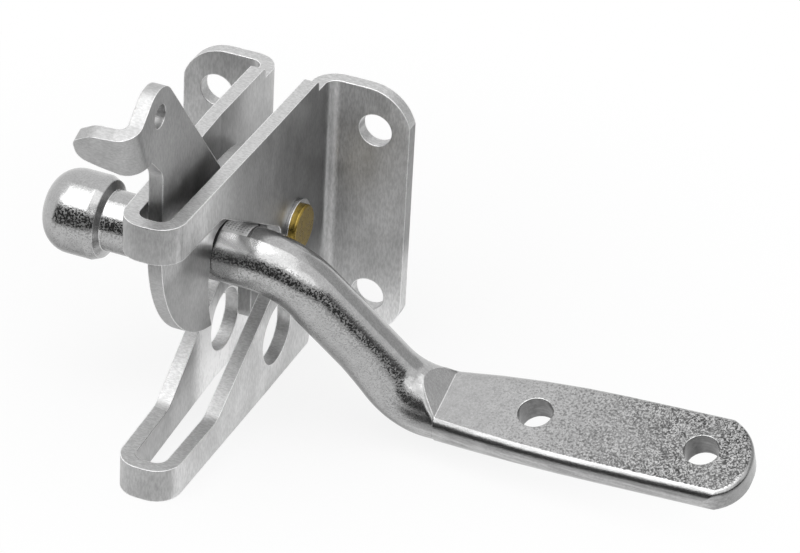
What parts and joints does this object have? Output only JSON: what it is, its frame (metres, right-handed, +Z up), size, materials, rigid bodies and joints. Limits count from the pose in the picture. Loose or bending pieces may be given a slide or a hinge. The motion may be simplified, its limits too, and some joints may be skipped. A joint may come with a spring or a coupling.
{
  "type": "gate latch",
  "caption": "Gravity gate latch: a folded sheet body with a V-shaped throat, a pivoting lever with a thumb tab, and a cranked striker bar with a knob and a flattened, drilled end.",
  "frame": {"origin": "centre of the four screw holes, in the plane of the back of the mounting flanges", "axes": "+Y out of the back of the flanges into the post, -Y towards the nose that takes the bar, +Z up, +X to the side where the striker bar's flattened end lies"},
  "size_m": [0.1493, 0.0823, 0.0907],
  "materials": {
    "body_sheet": "zinc-plated steel sheet, softly brushed, satin",
    "lever_plate": "zinc-plated steel plate, satin, lighter sheared edges",
    "rivet_brass": "yellow plated rivet, dull, brighter at its rim",
    "washer_zinc": "bright zinc-plated washer and spacers",
    "bar_steel": "zinc-plated forged rod, semi-bright with faint speckle and a mottled flat end"
  },
  "bodies": {
    "body": {"latch_body": "body_sheet", "pivot_rivet": "rivet_brass", "pivot_washer": "washer_zinc", "spacer_left": "washer_zinc", "spacer_right": "washer_zinc", "striker_bar": "bar_steel"},
    "lever": {"latch_lever": "lever_plate"}
  },
  "joints": [
    {"name": "lever_lift", "type": "hinge", "parent": "body", "child": "lever", "pos_m": [0, -0.0183, 0.0024], "axis": [-1, 0, 0], "range_deg": [0, 40]}
  ]
}
